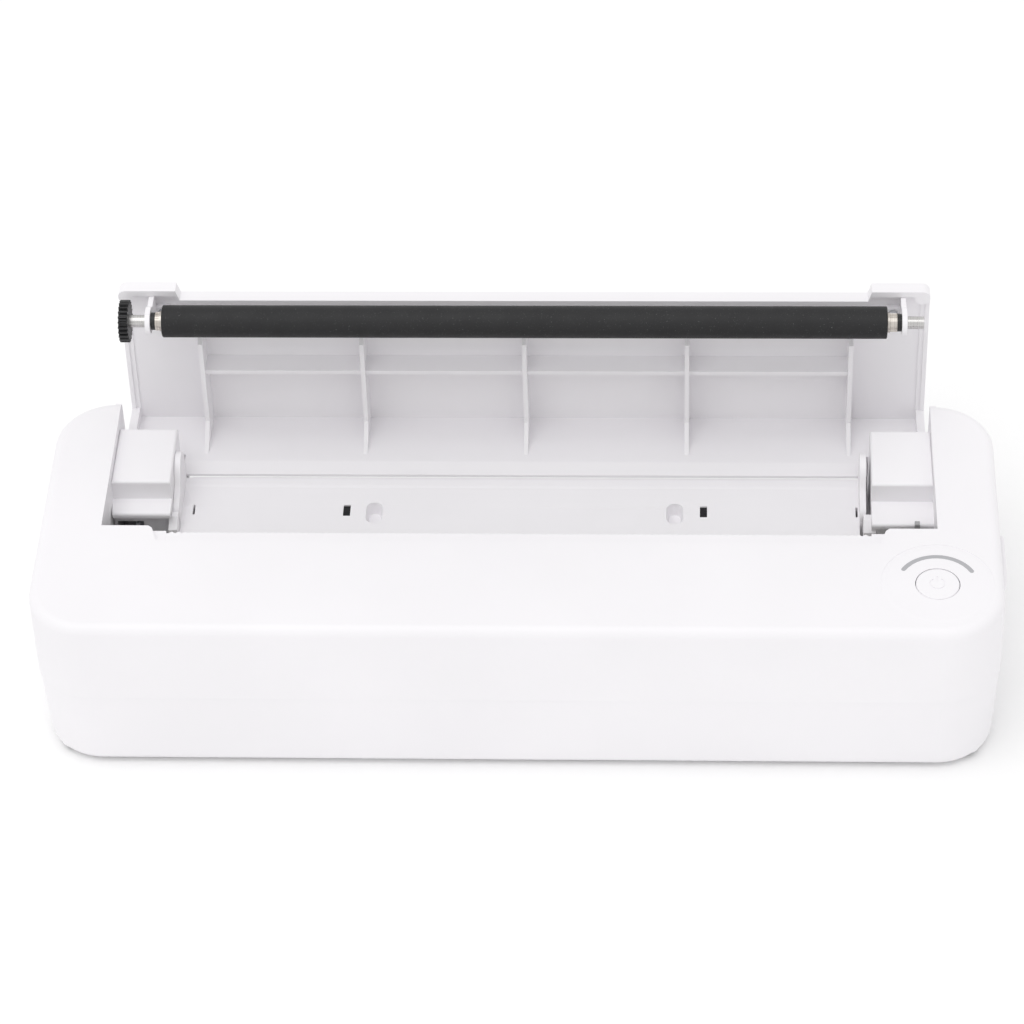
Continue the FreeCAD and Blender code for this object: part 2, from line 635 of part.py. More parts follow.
def head_heatsink():
    face = head_face + 1.0
    slab = head_box(head_left, head_right, -9.0, 9.0, face, face + 3.5)
    fins = [head_box(head_left, head_right, s, s + 1.4, face + 3.4, face + 6.0) for s in (-3.4, 7.0)]
    y, z = head_rod_yz
    lugs = []
    for x in (-100.0, 0.0, 100.0):
        lugs.append(head_box(x - 4, x + 4, -9.0, -5.0, face + 3.4, face + 7.1))
        lugs.append(rod_x(x - 4, x + 4, y, z, 2.6))
    bore = rod_x(-113.0, 113.0, y, z, 1.5 + running_gap)
    return cut(fuse([slab] + fins + lugs), [bore])


def head_board():
    face = head_face + 1.0
    return head_box(-96.0, 96.0, 6.2, 8.6, face - 0.8, face)


def head_pivot_rod():
    y, z = head_rod_yz
    return rod_x(head_left - 2.4, head_right + 2.4, y, z, 1.5)


def head_frame():
    """The steel channel that holds the pivot rod and backs the head springs."""
    back = head_face + 13.0
    plate = head_box(head_left - 2.2, head_right + 2.2, -7.0, 5.5, back, back + 1.5)
    y, z = head_rod_yz
    cheeks = []
    for x0 in (head_left - 2.2, head_right + 0.7):
        cheeks.append(head_box(x0, x0 + 1.5, -10.5, -2.0, head_face + 4.0, back + 1.0))
    feet = []
    for x in (-head_frame_x, head_frame_x):
        feet.append(box(x - 6, x + 6, -27.0, -25.5, 12.0, 31.6))
        feet.append(box(x - 6, x + 6, -27.0, -13.0, 30.1, 31.6))
    frame = fuse([plate] + cheeks + feet)
    tools = [rod_x(-116.0, 116.0, y, z, 1.5)]
    tools += [rod_y(x, -30, -20, 20.0, 1.3) for x in (-head_frame_x, head_frame_x)]
    return cut(frame, tools)


def head_springs():
    """Compression springs behind the heat sink, at the length that the fully tilted head leaves."""
    start, end = head_face + 5.3, head_face + 13.0
    y, z = head_point(2.0, start)
    springs = []
    for x in (-75.0, -25.0, 25.0, 75.0):
        spring = coil(2.1, 0.35, 5, end - start)
        spring.rotate(V(0, 0, 0), V(1, 0, 0), 135)
        spring.translate(V(x, y, z))
        springs.append(spring)
    return Part.makeCompound(springs)


# ---- drive ----
def drive_gear():
    y, z = drive_gear_yz
    return spur_gear(drive_teeth, gear_x, y, z, 1.5 + running_gap, phase_with_gap(drive_teeth, train_angle))


def idler_gear():
    y, z = idler_yz
    return spur_gear(idler_teeth, gear_x, y, z, 1.5 + running_gap, train_angle + 180.0)


def motor_pinion():
    y, z = pinion_yz
    return spur_gear(pinion_teeth, gear_x, y, z, 1.0, phase_with_gap(pinion_teeth, train_angle + 180.0))


def gear_plate():
    outline = [(-2.0, 27.0), (9.0, 13.0), (12.0, 5.2), (36.0, 5.2), (36.0, 29.5), (14.0, 42.9),
               (4.6, 42.9), (4.6, 39.6), (-2.0, 37.0)]
    plate = prism_yz(outline, gear_plate_x - gear_plate_thick, gear_plate_x)
    shaft_hole = rod_x(gear_plate_x - 3, gear_plate_x + 1, pinion_yz[0], pinion_yz[1], 3.2)
    return cut(plate, [shaft_hole])


def gear_studs():
    """Steel studs riveted to the gear plate, each with a head that keeps its gear on."""
    studs = []
    for y, z in (drive_gear_yz, idler_yz):
        stud = rod_x(gear_x - 0.9, gear_plate_x - gear_plate_thick, y, z, 1.5)
        head = rod_x(gear_x - 0.9, gear_x - 0.2, y, z, 2.2)
        collar = rod_x(gear_x + gear_width + 0.2, gear_plate_x - gear_plate_thick, y, z, 2.4)
        studs.append(fuse([stud, head, collar]))
    return Part.makeCompound(studs)


def stepper_motor():
    y, z = pinion_yz
    flange_x = gear_plate_x + 1.0
    can = rod_x(flange_x, -98.0, y, z, motor_radius)
    flange = rod_x(gear_plate_x, flange_x, y, z, motor_radius + 0.6)
    boss = rod_x(gear_plate_x - gear_plate_thick, gear_plate_x, y, z, 3.0)
    return fuse([can, flange, boss])


def motor_shaft():
    y, z = pinion_yz
    return rod_x(gear_x - 0.4, gear_plate_x - gear_plate_thick - 0.1, y, z, 1.0)


# ---- electronics ----
def main_board():
    board = box(-38.0, 84.0, -20.0, 48.4, board_z, board_z + board_thick)
    board = fillet_at(board, 2.0, lambda edge: abs(edge.Vertexes[0].Z - edge.Vertexes[-1].Z) > 1)
    holes = [rod_z(x, y, board_z - 1, board_z + 3, 1.5) for x, y in board_screws_xy]
    holes += [rod_z(x, y, board_z - 1, board_z + 3, guide_post_radius + 0.4) for x, y in guide_posts_xy]
    return cut(board, holes)


def board_screws():
    screws = [top_screw(x, y, board_z + 1.6, 5.4, 1.0, 2.4, 1.3) for x, y in board_screws_xy]
    return Part.makeCompound(screws)


def board_components():
    """Processor, motor driver, storage capacitor, inductor and two connectors."""
    base = board_z + 1.6
    parts = [box(10, 24, 0, 14, base, base + 1.4), box(-12, -5, 4, 11, base, base + 1.0),
             rod_z(60, -8, base, base + 10.0, 4.0), box(42, 52, -2, 8, base, base + 4.0),
             box(-32, -18, 6, 12, base, base + 5.0), box(-4, 14, -18, -13, base, base + 4.0),
             box(66, 76, 10, 16, base, base + 1.2)]
    return Part.makeCompound(parts)


def usb_inlet():
    shell = box(inlet_x - 4.5, inlet_x + 4.5, 43.5, 51.2, board_z + 1.6, board_z + 4.8)
    shell = fillet_at(shell, 1.2, lambda edge: abs(edge.Vertexes[0].Y - edge.Vertexes[-1].Y) > 5)
    mouth = box(inlet_x - 3.9, inlet_x + 3.9, 45.0, 52.0, board_z + 2.1, board_z + 4.3)
    tongue = box(inlet_x - 3.2, inlet_x + 3.2, 44.9, 50.2, board_z + 2.9, board_z + 3.6)
    return fuse([cut(shell, [mouth]), tongue])


def battery_pack():
    """Two cells end to end in one wrap."""
    cells = fuse([rod_x(-71.0, 71.0, -36.0, floor_z + 9.3, 9.3),
                  box(-71.0, 71.0, -36.0 - 6.0, -36.0 + 6.0, floor_z, floor_z + 9.3)])
    return cells


# ---- sensors ----
def paper_sensors():
    """Black optical windows that stand in the two slots of the guide."""
    return Part.makeCompound([box(x - 1.15, x + 1.15, sensor_y - 2.5, sensor_y + 2.5,
                                  guide_z - 2.4, guide_z - 0.5) for x in sensor_x])


def sensor_board():
    board = box(-62.0, 63.0, sensor_y - 5.0, sensor_y + 4.6, guide_z - 3.6, guide_z - 2.4)
    return cut(board, [box(x - 3.2, x + 3.2, 10.0, well_y + 5.3, guide_z - 4, guide_z) for x in well_x])


def cover_switch():
    body = box(lever_x - 0.9, lever_x + 2.9, 3.6, 8.6, 36.0, 44.0)
    stem = box(lever_x - 0.6, lever_x + 2.4, 8.5, block_front[1] + block_overhang, 37.0, 40.0)
    slot = box(lever_x - 0.2, lever_x + 1.8, 4.7, 7.0, 38.0, 45.0)
    return cut(fuse([body, stem]), [slot])


def switch_lever():
    stem = box(lever_x, lever_x + 1.6, 4.9, 6.8, 39.8, 51.8)
    return fillet_at(stem, 0.5, lambda edge: lies_at_z(edge, 51.8))


# ---- lid, drawn closed ----
def lid():
    half, inner = lid_half, lid_half - 2.8
    end_inner = lid_half - lid_end_width
    chamfer = 1.2
    plan = [(-half, 52.5), (-half, lid_end_front), (-end_inner - chamfer, lid_end_front),
            (-end_inner, lid_front), (end_inner, lid_front), (end_inner + chamfer, lid_end_front),
            (half, lid_end_front), (half, 52.5)]
    under_z = 38.9
    corner, lip_z = 2.4, top_z - 5.1
    outer = prism_xy(plan, under_z, top_z)
    outer = fillet_at(outer, corner, lambda edge: len(edge.Vertexes) == 2 and all(
        abs(abs(v.X) - half) < 1e-3 and abs(v.Y - lid_end_front) < 1e-3 for v in edge.Vertexes))
    outer = fillet_at(outer, rim_fillet, lambda edge: len(edge.Vertexes) == 2 and all(
        abs(v.Y - 52.5) < 1e-3 and abs(v.Z - top_z) < 1e-3 for v in edge.Vertexes))
    outer = fillet_at(outer, 0.6, lambda edge: lies_at_z(edge, top_z) and edge.BoundBox.YMax < 50.0)
    hollow = box(-200, 200, -20, 52.5 - lid_wall, 0, top_z - lid_wall)
    shell = cut(outer, [hollow])
    skirt = prism_yz([(52.5 - lid_wall, under_z + 1), (52.5 - lid_wall, lid_skirt_z + 5.0),
                      (51.6, lid_skirt_z), (52.5, lid_skirt_z), (52.5, under_z + 1)],
                     -lid_skirt_half, lid_skirt_half)
    lip = box(-end_inner, end_inner, lid_front, lid_front + 2.0, lip_z, top_z - 1)
    end_lips = both_sides(box(end_inner + chamfer, half - corner, lid_end_front, lid_end_front + 2.0,
                              lip_z, top_z - 1))
    corner_posts = both_sides(rod_z(half - corner, lid_end_front + corner, lip_z, top_z - 1, corner))
    slant = [(end_inner, lid_front), (end_inner + chamfer, lid_end_front),
             (end_inner + chamfer, lid_end_front + 2.0), (end_inner, lid_front + 2.0)]
    slants = both_sides(prism_xy(slant, lip_z, top_z - 1))
    rims = both_sides(box(inner, half, lid_end_front + corner, 51.0, top_z - 2.8, top_z - 1))
    rims += both_sides(box(half - 1.3, half, lid_end_front + corner, 51.0, top_z - 3.3, top_z - 1))
    cheek = [(52.0, top_z - 2), (52.0, under_z + 1.2), (hinge_y, under_z + 0.6), (46.6, 41.0),
             (46.0, hinge_z), (46.0, top_z - 2)]
    cheeks = both_sides(prism_yz(cheek, 127.0, half))
    rib_depth, rib_thick = 9.8, 1.4
    rib_low = top_z - lid_wall - rib_depth
    rib = [(9.0, top_z - 1), (9.0, top_z - lid_wall - 5.0), (12.0, rib_low), (44.0, rib_low),
           (48.4, 43.0), (50.6, 38.6), (51.4, 38.6), (51.4, top_z - 1)]
    ribs = [prism_yz(rib, x - rib_thick / 2, x + rib_thick / 2) for x in lid_rib_x]
    cross = box(lid_rib_x[0], lid_rib_x[-1], 24.1, 25.5, top_z - lid_wall - 8.0, top_z - 1)
    parts = [shell, skirt, lip] + end_lips + corner_posts + slants + rims + cheeks + ribs + [cross]
    whole = fuse(parts)
    pin_bores = [rod_x(x0, x0 + 5.0, hinge_y, hinge_z, shaft_radius) for x0 in (-130.5, 125.5)]
    return cut(whole, pin_bores)


def hinge_pins():
    """Steel pins fixed in the lid cheeks, turning in the case walls."""
    return Part.makeCompound(both_sides(rod_x(127.0, opening_half + 1.6, hinge_y, hinge_z, shaft_radius)))


def beside(end, near, far):
    """The x range from near to far outside the given end of the rubber, lowest first."""
    start = platen_left if end < 0 else platen_right
    return tuple(sorted((start + end * near, start + end * far)))


def bracket_gap(end):
    return 0.15 + bush_length[end] + clip_length + 0.1


def platen_bracket(end):
    """The plate under the lid that hooks round one end of the shaft, with a mounting foot."""
    gap = bracket_gap(end)
    x0, x1 = beside(end, gap, gap + bracket_thick)
    outline = [(2.8, 42.4), (4.0, 44.4), (4.2, 50.0), (8.0, 53.0), (8.0, top_z - lid_wall),
               (-2.0, top_z - lid_wall), (-2.0, 50.4), (-3.9, 47.6), (-3.9, 44.0)]
    ring = rod_x(x0, x1, 0, platen_z, 4.0)
    plate = fuse([prism_yz(outline, x0, x1), ring])
    foot_x0, foot_x1 = beside(end, gap - 4.4, gap + 0.1)
    under = top_z - lid_wall
    foot = box(foot_x0, foot_x1, 3.0, 8.0, under - 1.6, under)
    screw_x = sum(beside(end, gap - 2.3, gap - 2.3)) / 2
    tools = [rod_x(x0 - 1, x1 + 1, 0, platen_z, shaft_radius + running_gap),
             rod_z(screw_x, 5.5, under - 3, under + 1, 0.9)]
    return cut(fuse([plate, foot]), tools)


def ring_round_shaft(end, near, far, radius):
    x0, x1 = beside(end, near, far)
    return cut(rod_x(x0, x1, 0, platen_z, radius), [rod_x(x0 - 1, x1 + 1, 0, platen_z, shaft_radius)])


def platen_bushes():
    """Flanged bearing bushes next to the rubber."""
    bushes = []
    for end in (-1, 1):
        sleeve = ring_round_shaft(end, 0.15, 0.15 + bush_length[end], 2.95)
        flange = ring_round_shaft(end, 0.15, 0.85, 3.3)
        bushes.append(fuse([sleeve, flange]))
    return Part.makeCompound(bushes)


def platen_clips():
    """Black retaining rings beside the bushes."""
    clips = []
    for end in (-1, 1):
        start = 0.15 + bush_length[end]
        clips.append(ring_round_shaft(end, start, start + clip_length, 2.8))
    return Part.makeCompound(clips)


def bracket_screws():
    under = top_z - lid_wall
    screws = []
    for end, rubber_end in ((-1, platen_left), (1, platen_right)):
        x = rubber_end + end * (bracket_gap(end) - 2.3)
        screws.append(countersunk_screw(x, 5.5, under - 2.6, under, 0.9, 1.7, 1.0))
    return Part.makeCompound(screws)


def platen_shaft():
    return rod_x(gear_x, shaft_right, 0, platen_z, shaft_radius)


def platen_rubber():
    sleeve = rod_x(platen_left, platen_right, 0, platen_z, platen_radius)
    sleeve = fillet_at(sleeve, 0.4, lambda edge: len(edge.Vertexes) == 1)
    return cut(sleeve, [rod_x(-120, 120, 0, platen_z, shaft_radius)])


def platen_gear():
    toward = math.degrees(math.atan2(drive_gear_yz[1] - platen_z, drive_gear_yz[0]))
    drive_phase = phase_with_gap(drive_teeth, train_angle)
    past_tooth = (toward + 180.0 - drive_phase) % (360.0 / drive_teeth)
    phase = toward + past_tooth * drive_teeth / platen_teeth + 180.0 / platen_teeth
    return spur_gear(platen_teeth, gear_x + 0.2, 0, platen_z, shaft_radius, phase)


# ---- fasteners and feet ----
def rubber_feet():
    pads = []
    for x, y in foot_xy:
        pad = foot_pad(x, y, 0, foot_height + 1.2)
        pads.append(fillet_at(pad, 0.5, lambda edge: lies_at_z(edge, 0)))
    return Part.makeCompound(pads)


def case_screws():
    z_head = foot_height + 1.4
    return Part.makeCompound([countersunk_screw(x, y, z_head, 38.0, 1.2, 2.6, foot_height + 4.0 - z_head)
                              for x, y in case_screws_xy])


def frame_screws():
    """Screws that hold the head frame to the two uprights of the lower case."""
    screws = []
    for x in (-head_frame_x, head_frame_x):
        shank = rod_y(x, -30.0, -25.5, 20.0, 1.0)
        head = rod_y(x, -25.5, -24.3, 20.0, 2.3)
        screws.append(fuse([shank, head]))
    return Part.makeCompound(screws)


def guide_screws():
    return Part.makeCompound([countersunk_screw(x, y, screw_pocket_z - 1.6, guide_z - 2.6, 1.0, 2.4, 1.6)
                              for x, y in guide_posts_xy])


fixed_parts = {
    "lower_case": lower_case, "upper_case": upper_case, "tear_bar": tear_bar, "light_arc": light_arc,
    "button_board": button_board, "button_board_screws": board_screws_small, "tact_switch": tact_switch,
    "status_leds": status_leds, "release_spring": release_spring, "paper_guide": paper_guide,
    "gear_housing": gear_housing, "latch_housing": latch_housing, "head_frame": head_frame,
    "head_pivot_rod": head_pivot_rod, "head_springs": head_springs, "gear_plate": gear_plate,
    "gear_studs": gear_studs, "stepper_motor": stepper_motor, "main_board": main_board,
    "board_screws": board_screws, "board_components": board_components, "usb_inlet": usb_inlet,
    "battery_pack": battery_pack, "paper_sensors": paper_sensors, "sensor_board": sensor_board,
    "cover_switch": cover_switch, "rubber_feet": rubber_feet, "case_screws": case_screws,
    "frame_screws": frame_screws, "guide_screws": guide_screws,
    "side_plate_left": lambda: side_plate(-1), "side_plate_right": lambda: side_plate(1),
}
moving_parts = {
    "power_button": power_button, "release_button": release_button, "latch_bar": latch_bar,
    "head_heatsink": head_heatsink, "head_ceramic": head_ceramic, "head_board": head_board,
    "drive_gear": drive_gear, "idler_gear": idler_gear, "motor_pinion": motor_pinion,
    "motor_shaft": motor_shaft, "switch_lever": switch_lever,
}
lid_parts = {
    "lid": lid, "hinge_pins": hinge_pins, "platen_bushes": platen_bushes, "platen_clips": platen_clips,
    "bracket_screws": bracket_screws, "platen_shaft": platen_shaft, "platen_rubber": platen_rubber,
    "platen_gear": platen_gear,
    "platen_bracket_left": lambda: platen_bracket(-1), "platen_bracket_right": lambda: platen_bracket(1),
}


def save(shape, node):
    placed = shape.copy()
    placed.translate(V(0, -origin_y, 0))
    placed.exportStep(f"parts/{node}.step")
    if not placed.isValid():
        print("not valid:", node)


os.makedirs("parts", exist_ok=True)
for name, make in {**fixed_parts, **moving_parts}.items():
    save(make(), name)
for name, make in lid_parts.items():
    save(opened(make()), name)
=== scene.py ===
"""Looks of a thermal label printer with its lid open: moulded white plastic round a black platen."""

import json
import math

import bpy
from mathutils import Matrix, Vector


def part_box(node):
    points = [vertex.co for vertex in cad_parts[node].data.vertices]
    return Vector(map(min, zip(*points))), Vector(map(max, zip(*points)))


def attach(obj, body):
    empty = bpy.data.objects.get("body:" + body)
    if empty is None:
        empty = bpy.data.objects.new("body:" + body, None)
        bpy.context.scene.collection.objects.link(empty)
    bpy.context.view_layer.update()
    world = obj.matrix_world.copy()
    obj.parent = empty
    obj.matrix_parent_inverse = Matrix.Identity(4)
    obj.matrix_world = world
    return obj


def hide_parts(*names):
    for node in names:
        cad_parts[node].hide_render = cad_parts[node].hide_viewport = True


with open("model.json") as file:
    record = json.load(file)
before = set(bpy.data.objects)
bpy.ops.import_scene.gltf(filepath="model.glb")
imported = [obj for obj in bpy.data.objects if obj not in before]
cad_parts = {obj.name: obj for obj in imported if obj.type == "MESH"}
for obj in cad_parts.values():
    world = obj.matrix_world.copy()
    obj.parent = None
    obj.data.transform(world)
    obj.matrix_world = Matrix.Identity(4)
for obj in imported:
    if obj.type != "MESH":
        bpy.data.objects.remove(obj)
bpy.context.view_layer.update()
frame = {"nodes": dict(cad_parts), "record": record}
nodes = frame["nodes"]

# ---- values in metres unless said otherwise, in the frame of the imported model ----
CAMERA_PLACE = (0.05394, -0.89584, 0.89250)
CAMERA_DOWN = 43.08      # degrees below the horizon
CAMERA_YAW = 3.60        # degrees towards the left
CAMERA_ROLL = -2.22
LENS = 136.9             # millimetres
SENSOR_WIDTH = 36.0      # millimetres

FLOOR_SIZE = 12.0
SKY_STRENGTH = 0.855
LIGHT_PLACE = (-0.45, -0.45, 1.9)
LIGHT_AIM = (0, 0, 0.04)
LIGHT_SIZE = 1.6
LIGHT_POWER = 10.5       # watts

BUSH_RIDGES = 22         # how many ridges go round a bush
BUSH_RADIUS = 0.00278
BUSH_GAP = 0.00015       # between the rubber and the collar
BUSH_END_RIM = 0.0003
BUSH_END_DISH = 0.0001
RIDGE_HEIGHT = 0.00016
RIDGE_TAPER = 0.00005
COLLAR_RADIUS = 0.00322
COLLAR_LENGTH = 0.0007
COLLAR_SIDES = 64
COLLAR_RIM = 0.0002
COLLAR_CROWN = 0.00004

SMOOTH_BELOW = 40        # degrees between faces that are shaded as one
ROUND_ABOVE = 50         # degrees between faces whose edge is rounded
ROUND_SEGMENTS = 2
WELD_REACH = 0.000002
SOFT_EDGES = {           # radius of the moulded edges
    "lid": 0.00035, "gear_housing": 0.0004, "latch_housing": 0.0004, "side_plate_left": 0.0006,
    "side_plate_right": 0.0006, "platen_bracket_left": 0.0003, "platen_bracket_right": 0.0003,
    "paper_guide": 0.0002, "tear_bar": 0.0001, "drive_gear": 0.00008, "platen_gear": 0.00008,
}


# ---- material building blocks ----
class Finish:
    """A node material that is put together step by step."""

    def __init__(self, name, roughness, metallic=0.0):
        self.material = bpy.data.materials.new(name)
        self.material.use_nodes = True
        self.tree = self.material.node_tree
        self.shader = self.tree.nodes["Principled BSDF"]
        self.shader.inputs["Roughness"].default_value = roughness
        self.shader.inputs["Metallic"].default_value = metallic
        self.coords = self.tree.nodes.new("ShaderNodeTexCoord").outputs["Object"]

    def add(self, kind, **settings):
        node = self.tree.nodes.new(kind)
        for key, value in settings.items():
            setattr(node, key, value)
        return node

    def link(self, output, entry):
        self.tree.links.new(output, entry)

    def stretched(self, scale):
        """Object coordinates scaled differently along each axis."""
        mapping = self.add("ShaderNodeMapping")
        mapping.inputs["Scale"].default_value = scale
        self.link(self.coords, mapping.inputs["Vector"])
        return mapping.outputs["Vector"]

    def noise(self, scale, detail=2.0, coords=None, rough=0.5):
        node = self.add("ShaderNodeTexNoise")
        node.inputs["Scale"].default_value = scale
        node.inputs["Detail"].default_value = detail
        node.inputs["Roughness"].default_value = rough
        self.link(coords or self.coords, node.inputs["Vector"])
        return node.outputs["Fac"]

    def ramp(self, value, low, high, low_colour, high_colour):
        node = self.add("ShaderNodeValToRGB")
        first, last = node.color_ramp.elements
        first.position, last.position = low, high
        first.color, last.color = (*low_colour, 1.0), (*high_colour, 1.0)
        self.link(value, node.inputs["Fac"])
        return node.outputs["Color"]

    def span(self, value, low, high):
        """Remap a 0 to 1 pattern to the range low to high."""
        node = self.add("ShaderNodeMapRange")
        node.inputs["To Min"].default_value = low
        node.inputs["To Max"].default_value = high
        self.link(value, node.inputs["Value"])
        return node.outputs["Result"]

    def colour(self, output):
        self.link(output, self.shader.inputs["Base Color"])

    def roughness(self, output):
        self.link(output, self.shader.inputs["Roughness"])

    def bump(self, heights):
        """Stack bump layers, each a pattern with its strength and its height in metres."""
        normal = None
        for pattern, strength, distance in heights:
            node = self.add("ShaderNodeBump")
            node.inputs["Strength"].default_value = strength
            node.inputs["Distance"].default_value = distance
            self.link(pattern, node.inputs["Height"])
            if normal:
                self.link(normal, node.inputs["Normal"])
            normal = node.outputs["Normal"]
        self.link(normal, self.shader.inputs["Normal"])


def moulded_plastic(name, dark, light, rough, grain=2600.0, grain_depth=0.05):
    """Injection-moulded plastic with a fine spark-eroded texture."""
    f = Finish(name, rough)
    f.colour(f.ramp(f.noise(14.0, 3.0), 0.35, 0.65, dark, light))
    texture = f.noise(grain, 2.0)
    f.roughness(f.span(texture, rough - 0.07, rough + 0.07))
    f.bump([(f.noise(55.0, 2.0), 0.05, 0.0004), (texture, grain_depth, 0.0001)])
    f.shader.inputs["Specular IOR Level"].default_value = 0.45
    return f.material


def platen_rubber_finish():
    """Ground black silicone with tiny pits and a little dust."""
    f = Finish("platen_rubber", 0.62)
    specks = f.noise(2400.0, 3.0, rough=0.7)
    f.colour(f.ramp(specks, 0.64, 0.72, (0.009, 0.009, 0.010), (0.13, 0.13, 0.135)))
    f.roughness(f.span(f.noise(180.0, 3.0), 0.52, 0.72))
    rings = f.noise(1.0, 2.0, f.stretched((1500.0, 30.0, 30.0)))
    f.bump([(specks, 0.35, 0.0001), (rings, 0.12, 0.00008)])
    return f.material


def ground_metal(name, dark, light, rough, along=(60.0, 60.0, 60.0), metallic=1.0):
    """Metal with fine turning or drawing marks, across the direction whose scale is largest."""
    f = Finish(name, rough, metallic)
    marks = f.noise(1.0, 3.0, f.stretched(along))
    f.colour(f.ramp(marks, 0.3, 0.7, dark, light))
    f.roughness(f.span(marks, rough - 0.08, rough + 0.1))
    f.bump([(marks, 0.15, 0.00005)])
    return f.material


def circuit_board_finish():
    """Green solder resist over copper tracks."""
    f = Finish("circuit_board", 0.32)
    brick = f.add("ShaderNodeTexBrick")
    brick.inputs["Scale"].default_value = 260.0
    brick.inputs["Mortar Size"].default_value = 0.03
    brick.inputs["Color1"].default_value = (0.012, 0.10, 0.045, 1)
    brick.inputs["Color2"].default_value = (0.014, 0.12, 0.05, 1)
    brick.inputs["Mortar"].default_value = (0.03, 0.20, 0.085, 1)
    f.link(f.coords, brick.inputs["Vector"])
    f.colour(brick.outputs["Color"])
    f.bump([(brick.outputs["Fac"], 0.2, 0.00005)])
    return f.material


FINISHES = {
    "case_white": moulded_plastic("case_white", (0.89, 0.875, 0.897), (0.915, 0.90, 0.922), 0.46),
    # inner_white is the case white made a little lighter: painted light that brightens the inside
    # surfaces lying in shade
    "inner_white": moulded_plastic("inner_white", (0.90, 0.885, 0.907), (0.93, 0.915, 0.937), 0.50),
    "arc_grey": moulded_plastic("arc_grey", (0.42, 0.42, 0.44), (0.46, 0.46, 0.48), 0.30,
                                1800.0, 0.02),
    "grey_plastic": moulded_plastic("grey_plastic", (0.34, 0.34, 0.35), (0.40, 0.40, 0.41), 0.42),
    "black_plastic": moulded_plastic("black_plastic", (0.010, 0.010, 0.011), (0.02, 0.02, 0.021),
                                     0.42),
    "rubber": platen_rubber_finish(),
    "feet_rubber": moulded_plastic("feet_rubber", (0.10, 0.10, 0.10), (0.14, 0.14, 0.14), 0.75),
    "steel": ground_metal("steel", (0.55, 0.54, 0.53), (0.68, 0.67, 0.66), 0.28,
                          (4000.0, 90.0, 90.0)),
    "zinc_steel": ground_metal("zinc_steel", (0.50, 0.51, 0.53), (0.62, 0.63, 0.65), 0.38),
    "spring_steel": ground_metal("spring_steel", (0.42, 0.42, 0.43), (0.55, 0.55, 0.56), 0.33),
    "bronze": ground_metal("bronze", (0.50, 0.46, 0.42), (0.78, 0.74, 0.69), 0.34,
                           (1400.0, 60.0, 60.0)),
    "aluminium": ground_metal("aluminium", (0.66, 0.66, 0.68), (0.78, 0.78, 0.80), 0.36,
                              (20.0, 900.0, 900.0)),
    "ceramic": moulded_plastic("ceramic", (0.62, 0.58, 0.48), (0.68, 0.64, 0.54), 0.22,
                               1200.0, 0.01),
    "circuit_board": circuit_board_finish(),
    "component": moulded_plastic("component", (0.015, 0.015, 0.016), (0.03, 0.03, 0.032), 0.45),
    "lamp": moulded_plastic("lamp", (0.78, 0.77, 0.62), (0.85, 0.84, 0.70), 0.25, 1500.0, 0.02),
    "battery_wrap": moulded_plastic("battery_wrap", (0.02, 0.06, 0.22), (0.03, 0.08, 0.27), 0.24,
                                    700.0, 0.03),
    "sensor_window": moulded_plastic("sensor_window", (0.006, 0.006, 0.008),
                                     (0.012, 0.012, 0.014), 0.16),
}


def dress_frame():
    """Every CAD node takes the finish of its material slot."""
    for part in frame["record"]["subparts"]:
        mesh = nodes[part["node"]].data
        mesh.materials.clear()
        mesh.materials.append(FINISHES[part["material_slot"]])


# ---- shaped pieces ----
def deselect_all():
    if bpy.context.mode != "OBJECT":
        bpy.ops.object.mode_set(mode="OBJECT")
    bpy.ops.object.select_all(action="DESELECT")


def activate(piece):
    deselect_all()
    piece.select_set(True)
    bpy.context.view_layer.objects.active = piece


def edit_faces(piece, wanted):
    """Enter edit mode with only the faces selected that the test picks by centre and normal."""
    activate(piece)
    bpy.ops.object.mode_set(mode="EDIT")
    bpy.ops.mesh.select_mode(type="FACE")
    bpy.ops.mesh.select_all(action="DESELECT")
    bpy.ops.object.mode_set(mode="OBJECT")
    for face in piece.data.polygons:
        face.select = wanted(face.center, face.normal)
    bpy.ops.object.mode_set(mode="EDIT")


def finish_piece(piece, name, slot, body):
    """Smooth and name a piece, give it its finish and put it on its body."""
    activate(piece)
    bpy.ops.object.shade_smooth_by_angle(angle=math.radians(SMOOTH_BELOW))
    piece.name = name
    piece.data.name = name
    piece.data.materials.clear()
    piece.data.materials.append(FINISHES[slot])
    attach(piece, body)
    return piece


def softened_nodes():
    """Round the sharp moulded edges that catch the light."""
    for name, width in SOFT_EDGES.items():
        node = nodes[name]
        weld = node.modifiers.new("join", "WELD")
        weld.merge_threshold = WELD_REACH
        edge = node.modifiers.new("edge", "BEVEL")
        edge.width = width
        edge.segments = ROUND_SEGMENTS
        edge.limit_method = "ANGLE"
        edge.angle_limit = math.radians(ROUND_ABOVE)
        edge.use_clamp_overlap = True


def cylinder_along_x(x0, x1, y, z, radius, sides):
    """A cylinder with its place in its mesh."""
    deselect_all()
    middle = ((x0 + x1) / 2, y, z)
    bpy.ops.mesh.primitive_cylinder_add(vertices=sides, radius=radius, depth=x1 - x0,
                                        location=middle, rotation=(0, math.radians(90), 0))
    piece = bpy.context.object
    bpy.ops.object.transform_apply(location=True, rotation=True, scale=True)
    return piece


def is_end(centre, normal):
    return abs(normal.x) > 0.9


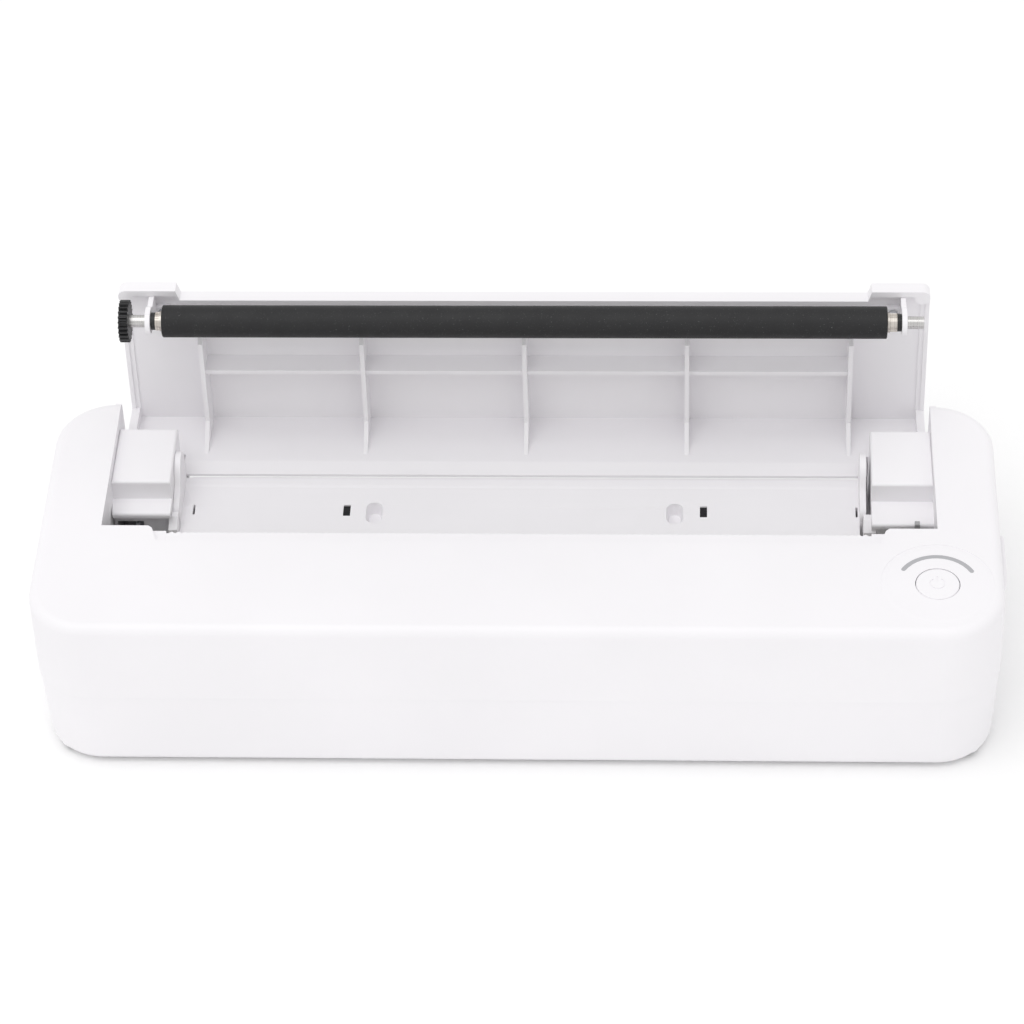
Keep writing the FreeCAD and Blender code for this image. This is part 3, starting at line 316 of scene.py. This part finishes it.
def ridged_bush(x0, x1, y, z):
    """A bearing bush with fine ridges along its length and dished ends."""
    bush = cylinder_along_x(x0, x1, y, z, BUSH_RADIUS, BUSH_RIDGES * 2)
    step = math.pi / BUSH_RIDGES

    def is_ridge(centre, normal):
        turn = math.atan2(normal.z, normal.y) % (2 * math.pi)
        return abs(normal.x) < 0.5 and int(turn / step) % 2 == 0

    edit_faces(bush, is_ridge)
    bpy.ops.mesh.inset(thickness=RIDGE_TAPER, depth=RIDGE_HEIGHT, use_individual=True)
    edit_faces(bush, is_end)
    bpy.ops.mesh.inset(thickness=BUSH_END_RIM, depth=-BUSH_END_DISH)
    bpy.ops.object.mode_set(mode="OBJECT")
    return bush


def bush_collar(x0, x1, y, z):
    """The smooth flange of a bush, next to the rubber."""
    collar = cylinder_along_x(x0, x1, y, z, COLLAR_RADIUS, COLLAR_SIDES)
    edit_faces(collar, is_end)
    bpy.ops.mesh.inset(thickness=COLLAR_RIM, depth=COLLAR_CROWN)
    bpy.ops.object.mode_set(mode="OBJECT")
    return collar


def bearing_bushes():
    """Both bushes of the platen roller, one at each end of the rubber."""
    shaft_low, shaft_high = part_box("platen_shaft")
    rubber_low, rubber_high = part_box("platen_rubber")
    bush_low, bush_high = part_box("platen_bushes")
    y, z = (shaft_low[1] + shaft_high[1]) / 2, (shaft_low[2] + shaft_high[2]) / 2
    left, right = rubber_low[0] - BUSH_GAP, rubber_high[0] + BUSH_GAP
    parts = [ridged_bush(bush_low[0], left - COLLAR_LENGTH, y, z),
             bush_collar(left - COLLAR_LENGTH, left, y, z),
             bush_collar(right, right + COLLAR_LENGTH, y, z),
             ridged_bush(right + COLLAR_LENGTH, bush_high[0], y, z)]
    activate(parts[0])
    for part in parts[1:]:
        part.select_set(True)
    bpy.ops.object.join()
    bushes = finish_piece(bpy.context.object, "bearing_bushes", "bronze", "platen")
    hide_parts("platen_bushes")


# ---- studio ----
def floor():
    """A plain pale floor."""
    bpy.ops.mesh.primitive_plane_add(size=FLOOR_SIZE, location=(0, 0, 0))
    plane = bpy.context.object
    plane.name = "floor"
    f = Finish("floor_pale", 0.9)
    f.colour(f.ramp(f.noise(3.0, 2.0), 0.3, 0.7, (0.98, 0.98, 0.98), (0.99, 0.99, 0.99)))
    plane.data.materials.append(f.material)


def sky():
    """Even white light from all round."""
    world = bpy.data.worlds.new("studio")
    world.use_nodes = True
    background = world.node_tree.nodes["Background"]
    background.inputs["Color"].default_value = (1.0, 1.0, 1.0, 1.0)
    background.inputs["Strength"].default_value = SKY_STRENGTH
    bpy.context.scene.world = world


def overhead_light():
    """A large soft light above the printer, a little in front and to the left."""
    light = bpy.data.lights.new("overhead_light", "AREA")
    light.shape = "SQUARE"
    light.size = LIGHT_SIZE
    light.energy = LIGHT_POWER
    lamp = bpy.data.objects.new("overhead_light", light)
    bpy.context.scene.collection.objects.link(lamp)
    lamp.location = LIGHT_PLACE
    aim = Vector(LIGHT_AIM) - Vector(LIGHT_PLACE)
    lamp.rotation_euler = aim.to_track_quat("-Z", "Y").to_euler()


def camera():
    """A long lens that looks down on the printer from the front."""
    data = bpy.data.cameras.new("camera")
    data.lens = LENS
    data.sensor_width = SENSOR_WIDTH
    eye = bpy.data.objects.new("camera", data)
    bpy.context.scene.collection.objects.link(eye)
    yaw = Matrix.Rotation(math.radians(CAMERA_YAW), 4, "Z")
    pitch = Matrix.Rotation(math.radians(90.0 - CAMERA_DOWN), 4, "X")
    roll = Matrix.Rotation(math.radians(CAMERA_ROLL), 4, "Z")
    eye.matrix_world = Matrix.Translation(CAMERA_PLACE) @ yaw @ pitch @ roll
    bpy.context.scene.camera = eye


deselect_all()
dress_frame()
softened_nodes()
bearing_bushes()
floor()
sky()
overhead_light()
camera()
bpy.context.scene.view_settings.view_transform = "Standard"
bpy.context.view_layer.update()
